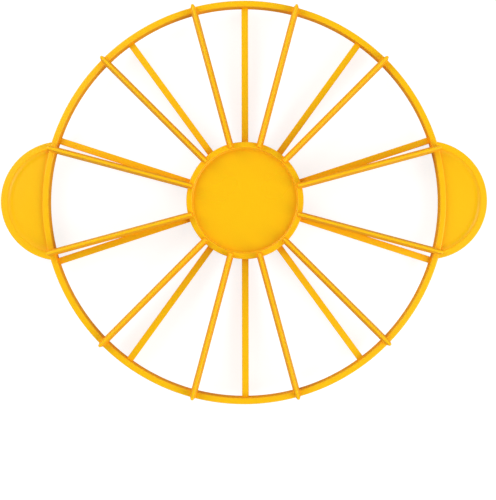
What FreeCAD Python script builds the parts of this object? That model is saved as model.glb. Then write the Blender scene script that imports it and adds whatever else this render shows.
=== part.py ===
import FreeCAD, Part
import math
import os

# Cake portion marker: a one-piece moulding that is pressed on a cake to mark its slices.
# One face carries twelve blades and the other face ten, so either side up gives one count.
# It is drawn about its parting plane and lifted at the end to stand on its lower blades.
# All sizes are in millimetres and all angles in degrees.

# Ring that joins the blades' outer ends
ring_outer_radius = 118.0
ring_width = 3.6
ring_height = 6.6
ring_edge_chamfer = 0.45

# Hub: a round web with a raised rim on both faces
hub_outer_radius = 34.3
hub_rim_width = 3.4
hub_rim_height = 8.0
hub_web_thickness = 1.6
hub_edge_chamfer = 0.3
hub_foot_chamfer = 0.6

# Handles: half-moon webs outside the ring, with a raised rim round their outer arc
handle_outer_radius = 34.8
handle_reach = 142.3
handle_rim_width = 3.6
handle_rim_height = 5.5
handle_web_thickness = 1.6
handle_wall_lean = 20.0
handle_edge_chamfer = 0.3
handle_foot_rounding = 2.6

# Blades: tapered fins, each with a flat back a little past the parting plane
blade_reach = 10.0
blade_back = 0.4
blade_root_width = 3.9
blade_edge_width = 1.3
blade_edge_rounding = 0.35
blade_overlap_on_hub = 2.8
blade_inner_end_chamfer = 0.8
blade_outer_end_chamfer = 0.8

# How many slices each face marks, and where its first blade points
upper_blade_count = 12
upper_first_angle = 15.0
lower_blade_count = 10
lower_first_angle = 90.0

# Taper of the hub's walls and the handles' outer walls, so that they leave the mould
draft_angle = 1.0

centre = FreeCAD.Vector(0, 0, 0)
along_x = FreeCAD.Vector(1, 0, 0)
along_y = FreeCAD.Vector(0, 1, 0)
along_z = FreeCAD.Vector(0, 0, 1)

# Two points of an outline that lie nearer than this are one point
same_point = 1e-4


def eased_corner(before, corner, after, treatment, size):
    """Points that stand for one corner of an outline: one, two for a chamfer, three for an arc."""
    if treatment == "sharp":
        return [corner]
    back = (before - corner).normalize()
    ahead = (after - corner).normalize()
    if treatment == "chamfer":
        return [corner + back * size, corner + ahead * size]
    half_angle = back.getAngle(ahead) / 2
    run = size / math.tan(half_angle)
    to_middle = size / math.sin(half_angle) - size
    middle = corner + (back + ahead).normalize() * to_middle
    return [corner + back * run, middle, corner + ahead * run]


def outlined_face(corners):
    """Flat face in the XZ plane from corners given as (x, z, treatment, size)."""
    points = [FreeCAD.Vector(x, 0, z) for x, z, treatment, size in corners]
    eased = []
    for index, (x, z, treatment, size) in enumerate(corners):
        before = points[index - 1]
        after = points[(index + 1) % len(points)]
        eased.append(eased_corner(before, points[index], after, treatment, size))
    edges = []
    for index, stops in enumerate(eased):
        if len(stops) == 3:
            edges.append(Part.Arc(stops[0], stops[1], stops[2]).toShape())
        if len(stops) == 2:
            edges.append(Part.LineSegment(stops[0], stops[1]).toShape())
        next_start = eased[(index + 1) % len(eased)][0]
        if stops[-1].distanceToPoint(next_start) > same_point:
            edges.append(Part.LineSegment(stops[-1], next_start).toShape())
    return Part.Face(Part.Wire(edges))


def turned(face):
    """Solid of revolution of a face about the Z axis."""
    return face.revolve(centre, along_z, 360)


def ring():
    """Hoop with straight walls, low enough to leave the mould without taper."""
    half = ring_height / 2
    inner_radius = ring_outer_radius - ring_width
    return turned(outlined_face([
        (ring_outer_radius, half, "chamfer", ring_edge_chamfer),
        (inner_radius, half, "chamfer", ring_edge_chamfer),
        (inner_radius, -half, "chamfer", ring_edge_chamfer),
        (ring_outer_radius, -half, "chamfer", ring_edge_chamfer),
    ]))


def longest_foot(wall_height, wall_lean, edge_chamfer, foot_treatment):
    """Largest foot chamfer or arc radius that still fits on a rim's inner wall."""
    free_length = wall_height / math.cos(math.radians(wall_lean)) - edge_chamfer
    if foot_treatment == "chamfer":
        return free_length
    return free_length / math.tan(math.radians(90 - wall_lean) / 2)


def dish(outer_radius, rim_width, rim_height, web_thickness, wall_lean, edge_chamfer,
         foot_treatment, foot_size):
    """Round web with a raised rim on both faces; the rim's inner wall leans outwards."""
    half = rim_height / 2
    half_web = web_thickness / 2
    wall_height = half - half_web
    taper = half * math.tan(math.radians(draft_angle))
    mouth_radius = outer_radius - rim_width
    foot_radius = mouth_radius - wall_height * math.tan(math.radians(wall_lean))
    foot = min(foot_size, longest_foot(wall_height, wall_lean, edge_chamfer, foot_treatment))
    return turned(outlined_face([
        (0, half_web, "sharp", 0),
        (foot_radius, half_web, foot_treatment, foot),
        (mouth_radius, half, "chamfer", edge_chamfer),
        (outer_radius - taper, half, "chamfer", edge_chamfer),
        (outer_radius, 0, "sharp", 0),
        (outer_radius - taper, -half, "chamfer", edge_chamfer),
        (mouth_radius, -half, "chamfer", edge_chamfer),
        (foot_radius, -half_web, foot_treatment, foot),
        (0, -half_web, "sharp", 0),
    ]))


def hub():
    return dish(hub_outer_radius, hub_rim_width, hub_rim_height, hub_web_thickness, draft_angle,
                hub_edge_chamfer, "chamfer", hub_foot_chamfer)


def handle(side):
    """Half-moon: what of a dish lies outside the middle of the ring's wall."""
    half_moon = dish(handle_outer_radius, handle_rim_width, handle_rim_height,
                     handle_web_thickness, handle_wall_lean, handle_edge_chamfer,
                     "arc", handle_foot_rounding)
    half_moon.translate(along_x * side * (handle_reach - handle_outer_radius))
    wall_middle = ring_outer_radius - ring_width / 2
    inside = Part.makeCylinder(wall_middle, 2 * handle_rim_height, along_z * -handle_rim_height)
    return half_moon.cut(inside)


def blade_bar():
    """Straight bar along +X with a blade's section, from the hub's axis to past the ring."""
    half_root = blade_root_width / 2
    half_edge = blade_edge_width / 2
    section = outlined_face([
        (-half_root, -blade_back, "sharp", 0),
        (half_root, -blade_back, "sharp", 0),
        (half_root, blade_back, "sharp", 0),
        (half_edge, blade_reach, "arc", blade_edge_rounding),
        (-half_edge, blade_reach, "arc", blade_edge_rounding),
        (-half_root, blade_back, "sharp", 0),
    ])
    section.rotate(centre, along_z, 90)
    return section.extrude(along_x * (ring_outer_radius + ring_width))


def blade_plank():
    """Side view of a blade from the hub's rim to past the ring, as thick as the blade's root.

    The slope that chamfers the outer end at the ring's outer wall runs on to the plank's end.
    """
    inner_end = hub_outer_radius - blade_overlap_on_hub
    outer_end = ring_outer_radius + ring_width
    slope_start = ring_outer_radius - blade_outer_end_chamfer
    slope_drop = outer_end - slope_start
    side_view = outlined_face([
        (inner_end, -blade_back, "sharp", 0),
        (outer_end, -blade_back, "sharp", 0),
        (outer_end, blade_reach - slope_drop, "sharp", 0),
        (slope_start, blade_reach, "sharp", 0),
        (inner_end, blade_reach, "chamfer", blade_inner_end_chamfer),
    ])
    side_view.translate(along_y * -blade_root_width / 2)
    return side_view.extrude(along_y * blade_root_width)


def blade():
    """One upper blade along +X, with its outer end flush with the ring's outer wall."""
    within_ring = Part.makeCylinder(ring_outer_radius, 2 * blade_reach, along_z * -blade_reach)
    return blade_bar().common(blade_plank()).common(within_ring)


def blades(count, first_angle):
    """Upper blades, evenly spaced round the hub."""
    first = blade()
    spread = []
    for index in range(count):
        copy = first.copy()
        copy.rotate(centre, along_z, first_angle + index * 360.0 / count)
        spread.append(copy)
    return spread


def turned_over(shape):
    """The same shape turned over about the X axis, for the marker's other face."""
    flipped = shape.copy()
    flipped.rotate(centre, along_x, 180)
    return flipped


def portion_marker():
    """The whole moulding as one solid, standing on the edges of its lower blades."""
    upper = blades(upper_blade_count, upper_first_angle)
    lower = [turned_over(fin) for fin in blades(lower_blade_count, lower_first_angle)]
    moulding = ring().multiFuse([hub(), handle(1), handle(-1)] + upper + lower)
    moulding = moulding.removeSplitter()
    moulding.translate(along_z * blade_reach)
    return moulding.Solids[0]


os.makedirs("parts", exist_ok=True)
marker = portion_marker()
marker.exportStep("parts/portion_marker.step")
reach = marker.optimalBoundingBox(False)
print("portion_marker is valid:", marker.isValid(), "volume in cm3:", round(marker.Volume / 1000, 2))
print("size in mm:", round(reach.XLength, 2), round(reach.YLength, 2), round(reach.ZLength, 2))
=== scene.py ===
# %% [markdown]
# # A cake portion marker in glossy yellow plastic
#
# The real object is one injection moulding: a hub, a ring, two half-moon handles and two sets of
# blades, twelve on one face and ten on the other. A baker presses it on a cake, and its blades
# print where to cut. The solid from the CAD model has the true sizes, but all its edges are
# crisp or plainly chamfered. This lesson remodels the moulding with the soft edges that a mould
# leaves, gives it a moulded plastic skin, and lights it like a product on a white table.
#
# First the frame is loaded. It gives the solid's box, and every size that lines up with the
# outside of the object is read from that box, so that nothing has to be fitted later.

# %% Load the frame
import math
import bmesh
import bpy
from mathutils import Euler, Matrix, Vector


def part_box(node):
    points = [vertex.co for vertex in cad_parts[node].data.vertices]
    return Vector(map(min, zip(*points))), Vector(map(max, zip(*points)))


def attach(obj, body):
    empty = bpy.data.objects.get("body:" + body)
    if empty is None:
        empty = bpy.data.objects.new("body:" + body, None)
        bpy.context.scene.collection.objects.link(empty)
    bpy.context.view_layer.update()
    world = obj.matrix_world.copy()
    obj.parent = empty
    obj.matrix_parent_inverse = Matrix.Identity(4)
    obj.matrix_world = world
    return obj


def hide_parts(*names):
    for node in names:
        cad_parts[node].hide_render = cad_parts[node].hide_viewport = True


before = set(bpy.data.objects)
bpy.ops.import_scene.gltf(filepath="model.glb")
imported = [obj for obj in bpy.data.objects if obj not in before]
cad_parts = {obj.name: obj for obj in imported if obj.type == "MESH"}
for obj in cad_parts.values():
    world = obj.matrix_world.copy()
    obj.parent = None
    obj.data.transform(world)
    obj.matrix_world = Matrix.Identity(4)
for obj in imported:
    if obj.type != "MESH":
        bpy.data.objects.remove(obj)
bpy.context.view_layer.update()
node_low, node_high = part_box("portion_marker")
print("The solid measures", [round(size * 1000, 1) for size in node_high - node_low], "mm")

# %% [markdown]
# ## Sizes
#
# A scene is measured in metres, so a millimetre gets a name, and each size is a real one.
# The ring's radius, the handles' reach and the blades' height come from the frame. Of two
# opposite sides the nearer one counts: the solid's round walls are stored as facets, and the new
# moulding stays inside them. The rest are wall widths and roundings. A mould is polished by hand,
# and its edges come out with small radii: about half a millimetre on a free edge, and more at the
# foot of a rim, where a sharp corner would crack.

# %% Name the sizes
mm = 0.001
ring_radius = min(node_high.y, -node_low.y)
handle_reach = min(node_high.x, -node_low.x)
blade_reach = (node_high.z - node_low.z) / 2
parting_height = (node_high.z + node_low.z) / 2

ring_width = 3.6 * mm
ring_height = 6.6 * mm
ring_rounding = 0.75 * mm

hub_radius = 34.3 * mm
hub_rim_width = 3.4 * mm
hub_rim_height = 8.0 * mm
hub_foot_rounding = 0.6 * mm
hub_wall_lean = math.radians(1)

handle_radius = 34.8 * mm
handle_rim_width = 3.6 * mm
handle_rim_height = 5.5 * mm
handle_foot_rounding = 2.6 * mm
handle_wall_lean = math.radians(20)

rim_rounding = 0.5 * mm
web_thickness = 1.6 * mm
outer_taper = math.tan(math.radians(1.0))
print("Ring radius", round(ring_radius / mm, 2), "handle reach", round(handle_reach / mm, 2))

# %% [markdown]
# ## Outlines with rounded corners, and how to turn them
#
# The ring, the hub and the handles are all turned forms: each is one small outline swept round
# an axis. An outline could be typed as a long list of arc points, but then a change of radius
# would mean a new list. Here the outline starts as a few corner points, and the bevel operator
# rounds each corner by its own radius. The spin operator then turns it.
#
# Spin leaves the face normals as they fall, so they are recalculated after the doubles at the
# axis are merged.

# %% A helper for rounded outlines
corner_steps = 5


def rounded_outline(corners):
    """Closed outline in the XZ plane from (x, z, radius) corners, each rounded by its radius."""
    outline = bmesh.new()
    points = [outline.verts.new((x, 0, z)) for x, z, radius in corners]
    outline.faces.new(points)
    for point, (x, z, radius) in zip(points, corners):
        if radius > 0:
            bmesh.ops.bevel(outline, geom=[point], offset=radius, offset_type="OFFSET",
                            affect="VERTICES", segments=corner_steps, profile=0.5, material=-1,
                            clamp_overlap=False)
    return outline


# %% A helper that turns an outline about the upright axis
on_axis = 1e-7


def turned(outline, steps):
    """Closed body of revolution of an outline about Z; edges that lie on the axis are left out."""
    bmesh.ops.delete(outline, geom=outline.faces[:], context="FACES_ONLY")
    axis_edges = [edge for edge in outline.edges
                  if all(abs(point.co.x) < on_axis for point in edge.verts)]
    bmesh.ops.delete(outline, geom=axis_edges, context="EDGES")
    bmesh.ops.spin(outline, geom=outline.verts[:] + outline.edges[:], cent=(0, 0, 0),
                   axis=(0, 0, 1), angle=math.tau, steps=steps, use_merge=True)
    bmesh.ops.remove_doubles(outline, verts=outline.verts, dist=on_axis)
    bmesh.ops.recalc_face_normals(outline, faces=outline.faces)
    return outline


def as_object(name, body):
    """Scene object from a bmesh, lifted so that the parting plane has its true height."""
    bmesh.ops.translate(body, verts=body.verts, vec=(0, 0, parting_height))
    mesh = bpy.data.meshes.new(name)
    body.to_mesh(mesh)
    body.free()
    return bpy.data.objects.new(name, mesh)


# %% [markdown]
# ## The ring
#
# The ring ties the outer ends of the blades together. On the real marker it is a plain hoop with
# rounded edges, so four corners are enough. It could also be a torus primitive, but a torus has a
# round section and this one is a flat bar on edge.

# %% Turn the ring
round_steps = 288


def ring():
    inner = ring_radius - ring_width
    half = ring_height / 2
    outline = rounded_outline([
        (ring_radius, half, ring_rounding),
        (inner, half, ring_rounding),
        (inner, -half, ring_rounding),
        (ring_radius, -half, ring_rounding),
    ])
    return as_object("ring", turned(outline, round_steps))


ring_body = ring()
print("Ring:", len(ring_body.data.polygons), "faces")

# %% [markdown]
# ## The hub and the handles
#
# The hub is a thin round web with a raised rim on both faces, and each handle is the part of such
# a dish that lies outside the ring. So one function makes both. They differ at the foot, where
# the rim rises from the web: the hub's rim stands almost upright on a small rounding, while a
# handle's leans outwards and ends in a wide one. On the real handles that wide rounding catches a
# pale streak of light, so its radius matters more than it seems.

# %% A helper for a dish with a rim on both faces
dish_steps = 160


def dish(radius, rim_width, rim_height, wall_lean, foot_rounding):
    """Round web with a rim on both faces; its inner wall leans outwards by wall_lean."""
    half = rim_height / 2
    half_web = web_thickness / 2
    mouth = radius - rim_width
    foot = mouth - (half - half_web) * math.tan(wall_lean)
    top = radius - half * outer_taper
    outline = rounded_outline([
        (0, half_web, 0),
        (foot, half_web, foot_rounding),
        (mouth, half, rim_rounding),
        (top, half, rim_rounding),
        (radius, 0, 0),
        (top, -half, rim_rounding),
        (mouth, -half, rim_rounding),
        (foot, -half_web, foot_rounding),
        (0, -half_web, 0),
    ])
    return turned(outline, dish_steps)


hub_body = as_object("hub", dish(hub_radius, hub_rim_width, hub_rim_height, hub_wall_lean,
                                 hub_foot_rounding))
print("Hub:", len(hub_body.data.polygons), "faces")

# %% [markdown]
# A handle's dish reaches into the ring, and the part inside the ring has to go. `bisect_plane`
# cuts only along a flat plane, and this cut is round, so a Boolean modifier takes a cylinder
# away. The cylinder ends in the middle of the ring's wall, where the cut can't be seen.


# %% A helper that applies a Boolean
def combined(name, base, others, operation):
    """New object: base with the other objects added to it or taken from it."""
    group = bpy.data.collections.new(name + "_parts")
    for other in others:
        group.objects.link(other)
    bpy.context.scene.collection.objects.link(base)
    boolean = base.modifiers.new(operation, "BOOLEAN")
    boolean.operation = operation
    boolean.solver = "EXACT"
    boolean.operand_type = "COLLECTION"
    boolean.collection = group
    graph = bpy.context.evaluated_depsgraph_get()
    mesh = bpy.data.meshes.new_from_object(base.evaluated_get(graph))
    mesh.name = name
    for spent in [base] + list(others):
        bpy.data.objects.remove(spent)
    bpy.data.collections.remove(group)
    return bpy.data.objects.new(name, mesh)


# %% Cut the handles
def handle(side):
    """Half-moon outside the ring, at +X for side 1 and at -X for side -1."""
    body = dish(handle_radius, handle_rim_width, handle_rim_height, handle_wall_lean,
                handle_foot_rounding)
    bmesh.ops.translate(body, verts=body.verts, vec=(side * (handle_reach - handle_radius), 0, 0))
    inside = bmesh.new()
    inner_radius = ring_radius - ring_width / 2
    bmesh.ops.create_cone(inside, cap_ends=True, segments=round_steps, radius1=inner_radius,
                          radius2=inner_radius, depth=2 * handle_rim_height)
    return combined("handle", as_object("dish", body), [as_object("inside", inside)], "DIFFERENCE")


handle_bodies = [handle(1), handle(-1)]
print("Handles:", [len(body.data.polygons) for body in handle_bodies], "faces")

# %% [markdown]
# ## The blades
#
# A blade is a straight fin: about 4 mm wide at its root, flat on its back, and tapered to a
# narrow edge that prints the cake. A cube is stretched to its box, cut once at the height where
# the taper starts, and its upper end is squeezed. Two bevels then soften it: a larger one on the
# upper edge of each end, and a small one on every edge that is still sharp. An extruded section
# would give the same fin, but its ends would need a cut of their own.
#
# The outer end stays a hair inside the ring's outer wall. Two walls at the very same place would
# leave slivers when the bodies are joined.

# %% Model one blade
blade_root_width = 3.9 * mm
blade_edge_width = 1.3 * mm
blade_back = 0.4 * mm
blade_overlap_on_hub = 2.8 * mm
blade_end_rounding = 0.8 * mm
blade_rounding = 0.35 * mm
blade_end_inset = 0.1 * mm
blade_corner_steps = 3
sharp_angle = math.radians(30)


def blade_body():
    """One upper blade along +X, with its back a little below the parting plane."""
    inner_end = hub_radius - blade_overlap_on_hub
    outer_end = ring_radius - blade_end_inset
    length = outer_end - inner_end
    height = blade_reach + blade_back
    body = bmesh.new()
    bmesh.ops.create_cube(body, size=1)
    bmesh.ops.scale(body, verts=body.verts, vec=(length, blade_root_width, height))
    middle = (inner_end + length / 2, 0, blade_reach - height / 2)
    bmesh.ops.translate(body, verts=body.verts, vec=middle)
    bmesh.ops.bisect_plane(body, geom=body.verts[:] + body.edges[:] + body.faces[:],
                           plane_co=(0, 0, blade_back), plane_no=(0, 0, 1))
    edge_points = [point for point in body.verts if point.co.z > blade_reach - blade_rounding]
    bmesh.ops.scale(body, verts=edge_points, vec=(1, blade_edge_width / blade_root_width, 1))
    return body


def soften_blade(body):
    """Rounds the upper edge of both of the blade's ends, then each edge that is still sharp."""
    end_tops = [edge for edge in body.edges
                if all(point.co.z > blade_reach - blade_rounding for point in edge.verts)
                and abs(edge.verts[0].co.x - edge.verts[1].co.x) < blade_rounding]
    bmesh.ops.bevel(body, geom=end_tops, offset=blade_end_rounding, offset_type="OFFSET",
                    affect="EDGES", segments=corner_steps, profile=0.5, material=-1)
    sharp = [edge for edge in body.edges if edge.calc_face_angle(0) > sharp_angle]
    bmesh.ops.bevel(body, geom=sharp, offset=blade_rounding, offset_type="OFFSET",
                    affect="EDGES", segments=blade_corner_steps, profile=0.5, material=-1)
    return body


# %% [markdown]
# All blades are turned copies of that one. Those of the lower face are turned over about X
# first. Turning over keeps the faces outwards, where a mirror would turn them inside out.

# %% Spread the blades
upper_blade_count = 12
upper_first_angle = math.radians(15)
lower_blade_count = 10
lower_first_angle = math.radians(90)


def blade(angle, turned_over):
    body = soften_blade(blade_body())
    flip = Matrix.Rotation(math.pi if turned_over else 0, 3, "X")
    bmesh.ops.rotate(body, verts=body.verts, cent=(0, 0, 0), matrix=flip)
    bmesh.ops.rotate(body, verts=body.verts, cent=(0, 0, 0), matrix=Matrix.Rotation(angle, 3, "Z"))
    return as_object("blade", body)


def blades(count, first_angle, turned_over):
    return [blade(first_angle + index * math.tau / count, turned_over) for index in range(count)]


blade_bodies = blades(upper_blade_count, upper_first_angle, False)
blade_bodies += blades(lower_blade_count, lower_first_angle, True)
print("Blades:", len(blade_bodies), "of", len(blade_bodies[0].data.polygons), "faces each")

# %% [markdown]
# ## One moulding
#
# The real object has no joints: hub, ring, handles and blades set as one piece of plastic. So all
# bodies are joined in one Boolean union, which also cuts away every wall that would hide inside.
# Beside the handles, blades of the two faces lie only 3 degrees apart. There their roots run into
# each other for half their length, as they do in the mould.
#
# The joined mesh is cleaned: points that fall together are merged, and the faces are told which
# edges are sharp. A weighted normal modifier then lets the large flat faces decide the shading,
# so that the small roundings look round and the flats stay flat.

# %% Join and clean
merge_distance = 0.004 * mm

moulding = combined("portion_marker_moulding", ring_body,
                    [hub_body] + handle_bodies + blade_bodies, "UNION")
clean = bmesh.new()
clean.from_mesh(moulding.data)
bmesh.ops.remove_doubles(clean, verts=clean.verts, dist=merge_distance)
bmesh.ops.dissolve_degenerate(clean, edges=clean.edges, dist=merge_distance)
bmesh.ops.recalc_face_normals(clean, faces=clean.faces)
open_edges = [edge for edge in clean.edges if not edge.is_manifold]
print("Moulding:", len(clean.faces), "faces,", len(open_edges), "open edges, volume",
      round(clean.calc_volume() * 1e6, 2), "cm3")
clean.to_mesh(moulding.data)
clean.free()

# %% Shade and place it
flat_face_weight = 60

moulding.data.shade_smooth()
moulding.data.set_sharp_from_angle(angle=sharp_angle)
weighted = moulding.modifiers.new("even shading", "WEIGHTED_NORMAL")
weighted.keep_sharp = True
weighted.weight = flat_face_weight
bpy.context.scene.collection.objects.link(moulding)
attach(moulding, "root")
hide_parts("portion_marker")
print("Sharp edges above", round(math.degrees(sharp_angle)), "degrees")

# %% [markdown]
# ## The plastic's skin
#
# The real marker is dyed plastic, clean and new. Its flat faces are glossy, because those faces of
# the mould are polished. The blades come from deep slots that are cut by sparks, so their flanks
# are duller. Under a lamp the skin has a faint orange peel, and a fine grain breaks the
# reflections. Where the two halves of the mould meet, a hair-thin seam runs round the walls.
#
# These effects are kept apart from the shader, in a node group with named inputs, so another
# plastic could use them with other values. The group tells walls from faces by the upward part of
# the object's own normal, and corners by how much of the sky the nearby plastic hides. These two
# masks place painted shade: walls that are nearly upright take the painted wall shade, and corners
# the painted corner shade, while every slope is a little duller. All masks stay the same when the
# camera moves. A painted texture could do that too, but it would need an unwrapped mesh.


# %% Helpers for node trees
def add_node(tree, kind, **settings):
    """Adds a node; settings are its own properties."""
    node = tree.nodes.new(kind)
    for name, value in settings.items():
        setattr(node, name, value)
    return node


def ramp(tree, value, full_at, none_at):
    """Smooth mask of a value: 1 where it is full_at and 0 where it is none_at."""
    node = add_node(tree, "ShaderNodeMapRange", interpolation_type="SMOOTHSTEP")
    node.inputs["From Min"].default_value = none_at
    node.inputs["From Max"].default_value = full_at
    tree.links.new(value, node.inputs["Value"])
    return node.outputs[0]


def calculate(tree, operation, *values):
    """Math node; each value is a number or the output of another node."""
    node = add_node(tree, "ShaderNodeMath", operation=operation)
    for socket, value in zip(node.inputs, values):
        if isinstance(value, (int, float)):
            socket.default_value = value
        else:
            tree.links.new(value, socket)
    return node.outputs[0]


def noise(tree, place, scale):
    """Soft noise at a place, with its scale from a socket."""
    node = add_node(tree, "ShaderNodeTexNoise")
    tree.links.new(place, node.inputs["Vector"])
    tree.links.new(scale, node.inputs["Scale"])
    return node.outputs["Fac"]


# %% Build the skin's node group
# Each mask is full at its first value and gone at its second
# The wall mask places painted shade on upright walls, and it also keeps the seam on them.
wall_mask = (0.02, 0.3)
slope_mask = (0.1, 0.95)
# The corner mask places painted shade in corners.
corner_shade_mask = (0.2, 0.85)
corner_samples = 8
skin_inputs = {"Flow scale": 18.0, "Peel scale": 320.0, "Grain scale": 2600.0, "Grain share": 0.3,
               "Face roughness": 0.25, "Wall roughness": 0.75, "Flow roughness": 0.06,
               "Corner reach": 10.0 * mm, "Seam height": 0.0, "Seam width": 0.12 * mm,
               "Seam share": 1.2}


def moulded_skin_group():
    """From position and normal: painted shade masks of walls and corners, roughness and height."""
    tree = bpy.data.node_groups.new("Moulded skin", "ShaderNodeTree")
    for name in ("Position", "Normal"):
        tree.interface.new_socket(name, in_out="INPUT", socket_type="NodeSocketVector")
    for name, value in skin_inputs.items():
        socket = tree.interface.new_socket(name, in_out="INPUT", socket_type="NodeSocketFloat")
        socket.default_value = value
    for name in ("Wall shade", "Corner shade", "Flow", "Roughness", "Height"):
        tree.interface.new_socket(name, in_out="OUTPUT", socket_type="NodeSocketFloat")
    start = add_node(tree, "NodeGroupInput").outputs
    end = add_node(tree, "NodeGroupOutput").inputs

    normal = add_node(tree, "ShaderNodeSeparateXYZ")
    tree.links.new(start["Normal"], normal.inputs[0])
    upward = calculate(tree, "ABSOLUTE", normal.outputs["Z"])
    # This mask places painted shade on upright walls, and it keeps the seam on them.
    walls = ramp(tree, upward, *wall_mask)
    tree.links.new(walls, end["Wall shade"])
    slopes = ramp(tree, upward, *slope_mask)

    # This mask places painted shade in corners, where the nearby plastic hides the sky.
    open_sky = add_node(tree, "ShaderNodeAmbientOcclusion", only_local=True,
                        samples=corner_samples)
    tree.links.new(start["Corner reach"], open_sky.inputs["Distance"])
    corners = ramp(tree, open_sky.outputs["AO"], *corner_shade_mask)
    tree.links.new(corners, end["Corner shade"])

    flow = noise(tree, start["Position"], start["Flow scale"])
    tree.links.new(flow, end["Flow"])
    rougher = calculate(tree, "SUBTRACT", start["Wall roughness"], start["Face roughness"])
    roughness = calculate(tree, "MULTIPLY_ADD", slopes, rougher, start["Face roughness"])
    roughness = calculate(tree, "MULTIPLY_ADD", flow, start["Flow roughness"], roughness)
    tree.links.new(roughness, end["Roughness"])

    peel = noise(tree, start["Position"], start["Peel scale"])
    grain = noise(tree, start["Position"], start["Grain scale"])
    height = calculate(tree, "MULTIPLY_ADD", grain, start["Grain share"], peel)
    place = add_node(tree, "ShaderNodeSeparateXYZ")
    tree.links.new(start["Position"], place.inputs[0])
    above = calculate(tree, "SUBTRACT", place.outputs["Z"], start["Seam height"])
    away = calculate(tree, "DIVIDE", calculate(tree, "ABSOLUTE", above), start["Seam width"])
    seam = calculate(tree, "MULTIPLY", ramp(tree, away, 0.0, 1.0), walls)
    height = calculate(tree, "MULTIPLY_ADD", seam, start["Seam share"], height)
    tree.links.new(height, end["Height"])
    return tree


skin = moulded_skin_group()
print("Skin group sockets:", [item.name for item in skin.interface.items_tree])

# %% [markdown]
# ## The plastic itself
#
# The colour is a warm yellow that leans to orange. On the real marker the walls and the corners
# look deeper than the faces: the light that leaves them has passed through plastic or bounced off
# plastic, and each time it loses more green than red. The renderer follows the bounces, but not
# all of that path, so the masks from the skin group paint it in: walls and corners get two deeper,
# darker colours, which are painted shade and not the dye's own colour.
#
# A little subsurface scattering softens the thin blades, because light travels about a millimetre
# into dyed plastic. Much more of it would let the web lose its red light through the back.

# %% Mix the plastic
face_colour = (0.98, 0.555, 0.002, 1)
# The next colour is painted shade on upright walls: darker and more orange than the faces.
wall_shade_colour = (0.88, 0.38, 0.001, 1)
# The next colour is painted shade in corners, where the nearby plastic hides the sky.
corner_shade_colour = (1.0, 0.42, 0.001, 1)
flow_colour = (0.98, 0.535, 0.002, 1)
refraction = 1.49
mirror_level = 0.28
scatter_share = 0.15
scatter_depth = 1.0 * mm
scatter_by_colour = (1.0, 0.4, 0.1)
bump_strength = 0.25
bump_height = 0.06 * mm


def blend(tree, mask, first, second):
    """Colour mix; first and second are colours or the outputs of other nodes."""
    node = add_node(tree, "ShaderNodeMix", data_type="RGBA")
    tree.links.new(mask, node.inputs["Factor"])
    for name, value in (("A", first), ("B", second)):
        if isinstance(value, tuple):
            node.inputs[name].default_value = value
        else:
            tree.links.new(value, node.inputs[name])
    return node.outputs["Result"]


def yellow_plastic():
    material = bpy.data.materials.new("yellow moulded plastic")
    material.use_nodes = True
    tree = material.node_tree
    shader = tree.nodes["Principled BSDF"].inputs
    shader["IOR"].default_value = refraction
    shader["Specular IOR Level"].default_value = mirror_level
    shader["Subsurface Weight"].default_value = scatter_share
    shader["Subsurface Radius"].default_value = scatter_by_colour
    shader["Subsurface Scale"].default_value = scatter_depth

    place = add_node(tree, "ShaderNodeTexCoord").outputs
    surface = add_node(tree, "ShaderNodeGroup", node_tree=skin)
    surface.inputs["Seam height"].default_value = parting_height
    tree.links.new(place["Object"], surface.inputs["Position"])
    tree.links.new(place["Normal"], surface.inputs["Normal"])

    faces = blend(tree, surface.outputs["Flow"], face_colour, flow_colour)
    # Painted shade: upright walls get the darker wall colour.
    with_wall_shade = blend(tree, surface.outputs["Wall shade"], faces, wall_shade_colour)
    # Painted shade: corners get the deeper corner colour.
    colour = blend(tree, surface.outputs["Corner shade"], with_wall_shade, corner_shade_colour)
    tree.links.new(colour, shader["Base Color"])
    tree.links.new(surface.outputs["Roughness"], shader["Roughness"])

    bump = add_node(tree, "ShaderNodeBump")
    bump.inputs["Strength"].default_value = bump_strength
    bump.inputs["Distance"].default_value = bump_height
    tree.links.new(surface.outputs["Height"], bump.inputs["Height"])
    tree.links.new(bump.outputs["Normal"], shader["Normal"])
    return material


moulding.data.materials.clear()
moulding.data.materials.append(yellow_plastic())
print("Plastic:", moulding.data.materials[0].name)

# %% [markdown]
# ## The table
#
# The marker is shown on plain white. A table that is only lit would have to be overexposed to
# look like that, and the plastic would wash out with it. So the table is a large pale plane that
# scatters light like paper, and for the camera and for mirror rays it also glows. It reads as
# white, and a soft shadow of the object still falls on it.

# %% Lay the table
table_size = 6.0
table_gap = 0.05 * mm
table_paper = 0.4
table_glow = 0.78


def white_table():
    body = bmesh.new()
    bmesh.ops.create_grid(body, x_segments=1, y_segments=1, size=table_size / 2)
    bmesh.ops.translate(body, verts=body.verts, vec=(0, 0, node_low.z - table_gap))
    mesh = bpy.data.meshes.new("table")
    body.to_mesh(mesh)
    body.free()
    table = bpy.data.objects.new("table", mesh)
    bpy.context.scene.collection.objects.link(table)
    return table


def table_white():
    material = bpy.data.materials.new("white table")
    material.use_nodes = True
    tree = material.node_tree
    tree.nodes.clear()
    paper = add_node(tree, "ShaderNodeBsdfDiffuse")
    paper.inputs["Color"].default_value = (table_paper, table_paper, table_paper, 1)
    path = add_node(tree, "ShaderNodeLightPath").outputs
    mirrored = calculate(tree, "MAXIMUM", path["Is Glossy Ray"], path["Is Transmission Ray"])
    seen = calculate(tree, "MAXIMUM", path["Is Camera Ray"], mirrored)
    glow = add_node(tree, "ShaderNodeEmission")
    tree.links.new(calculate(tree, "MULTIPLY", seen, table_glow), glow.inputs["Strength"])
    both = add_node(tree, "ShaderNodeAddShader")
    tree.links.new(paper.outputs[0], both.inputs[0])
    tree.links.new(glow.outputs[0], both.inputs[1])
    out = add_node(tree, "ShaderNodeOutputMaterial")
    tree.links.new(both.outputs[0], out.inputs["Surface"])
    return material


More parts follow.
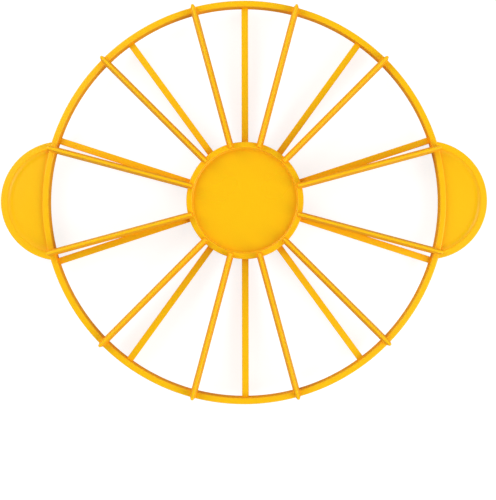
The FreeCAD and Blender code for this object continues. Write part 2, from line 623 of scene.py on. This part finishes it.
table = white_table()
table.data.materials.append(table_white())
print("Table height in mm:", round(table.data.vertices[0].co.z / mm, 2))

# %% [markdown]
# ## Light
#
# A studio tent gives even light from all round, and two softboxes on opposite sides give it a
# direction. The photograph tells where they stand: each one draws a pale streak on the foot of
# the handle across from it, and leaves a darker spot on a lower blade's back where an upper blade
# stands in its way. One bright sun would be simpler, but it would draw hard shadows.
#
# The tent is the world's colour. It is white at the horizon, as a backdrop, and darker overhead,
# where the camera hangs. Flat faces mirror the part overhead, and a white one would turn their
# deep yellow pale.

# %% Set the lamps
tent_at_horizon = 1.0
tent_overhead = 0.2
tent_fade_start = 0.3


def studio_tent():
    """World light: white at the horizon, and darker overhead, where the camera hangs."""
    world = bpy.data.worlds.new("studio tent")
    world.use_nodes = True
    tree = world.node_tree
    place = add_node(tree, "ShaderNodeTexCoord")
    split = add_node(tree, "ShaderNodeSeparateXYZ")
    fade = add_node(tree, "ShaderNodeMapRange")
    fade.inputs["From Min"].default_value = tent_fade_start
    fade.inputs["To Min"].default_value = tent_at_horizon
    fade.inputs["To Max"].default_value = tent_overhead
    tree.links.new(place.outputs["Generated"], split.inputs[0])
    tree.links.new(split.outputs["Z"], fade.inputs["Value"])
    tree.links.new(fade.outputs[0], tree.nodes["Background"].inputs["Strength"])
    tree.nodes["Background"].inputs["Color"].default_value = (1, 1, 1, 1)
    return world


def softbox(name, azimuth, elevation, distance, size, brightness):
    """Square lamp that faces the object; brightness is that of its own face, 1 for white."""
    lamp = bpy.data.lights.new(name, "AREA")
    lamp.size = size
    lamp.energy = brightness * math.pi * size ** 2
    box = bpy.data.objects.new(name, lamp)
    turn = Euler((0, math.radians(90 - elevation), math.radians(azimuth)))
    box.location = turn.to_matrix() @ Vector((0, 0, distance))
    box.rotation_euler = turn
    bpy.context.scene.collection.objects.link(box)
    return box


bpy.context.scene.world = studio_tent()
lamps = [softbox("right softbox", -28, 38, 0.8, 0.55, 3.25),
         softbox("left softbox", 147, 40, 0.75, 0.5, 2.85)]
print("Lamps in W:", [round(box.data.energy, 2) for box in lamps])

# %% [markdown]
# ## Camera
#
# The photograph looks almost straight down from about 42 cm. Its perspective shows in the upper
# blades' edges, which lean outwards, and its optical centre lies above the middle of the frame.
# A camera that is tilted to centre the object would bend those lines, so the lens is shifted, as
# on a view camera. The values were fitted to points of the photograph.

# %% Place the camera
photo_width = 496
photo_height = 500
focal_length_px = 703.0
optical_centre_px = (259.3, 194.1)
sensor_size = 36.0
camera_place = Vector((3.05, -11.57, 423.57)) * mm
camera_turn = Euler([math.radians(angle) for angle in (2.12, -0.733, -0.15)])

camera_data = bpy.data.cameras.new("camera")
camera_data.sensor_width = sensor_size
camera_data.lens = focal_length_px / photo_height * sensor_size
camera_data.shift_x = (photo_width / 2 - optical_centre_px[0]) / photo_height
camera_data.shift_y = (optical_centre_px[1] - photo_height / 2) / photo_height
camera_data.clip_start = 0.01
camera = bpy.data.objects.new("camera", camera_data)
camera.location = camera_place
camera.rotation_euler = camera_turn
bpy.context.scene.collection.objects.link(camera)
bpy.context.scene.camera = camera
bpy.context.scene.view_settings.view_transform = "Standard"
print("Lens", round(camera_data.lens, 2), "mm, shifted by", round(camera_data.shift_x, 3),
      round(camera_data.shift_y, 3))
